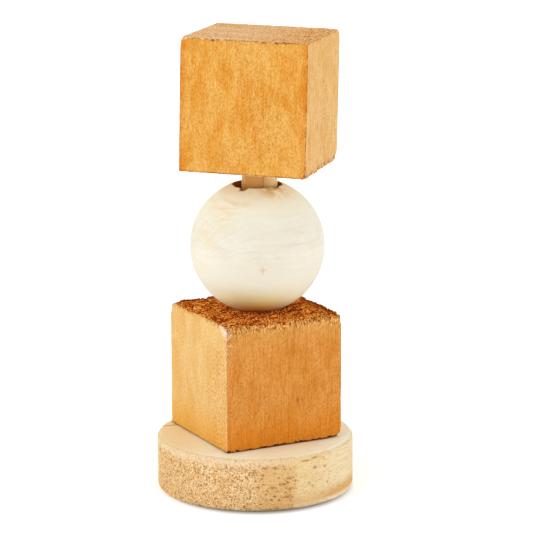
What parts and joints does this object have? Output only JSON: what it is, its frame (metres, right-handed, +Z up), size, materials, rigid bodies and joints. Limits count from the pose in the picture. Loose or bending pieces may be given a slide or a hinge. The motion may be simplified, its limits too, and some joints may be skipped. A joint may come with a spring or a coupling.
{
  "type": "stacked wooden tower",
  "caption": "Free-standing wooden tower: a square block, a ball and another square block on a peg in a round base; the loose block and the ball turn on the peg.",
  "frame": {"origin": "centre of the round base's underside", "axes": "+Z up along the stack, +Y to the back, +X to the right"},
  "size_m": [0.066, 0.066, 0.1536],
  "materials": {
    "base_wood": "bare, sanded pale wood with saw-rough end grain round the rim",
    "peg_wood": "bare dowel",
    "lower_block_wood": "bare orange wood, sawn, with torn end grain on top",
    "ball_wood": "bare turned pale wood, sanded smooth",
    "upper_block_wood": "bare orange wood, planed sides and sawn ends"
  },
  "bodies": {
    "stand": {"base_disc": "base_wood", "centre_peg": "peg_wood", "upper_block": "upper_block_wood"},
    "lower_block": {"lower_block": "lower_block_wood"},
    "ball": {"ball": "ball_wood"}
  },
  "joints": [
    {"name": "lower_block_spin", "type": "hinge", "parent": "stand", "child": "lower_block", "pos_m": [0.0002, 0.0018, 0], "axis": [0, 0, 1], "continuous": true},
    {"name": "ball_spin", "type": "hinge", "parent": "stand", "child": "ball", "pos_m": [0.00105, 0.0015, 0], "axis": [0, 0, 1], "continuous": true}
  ]
}
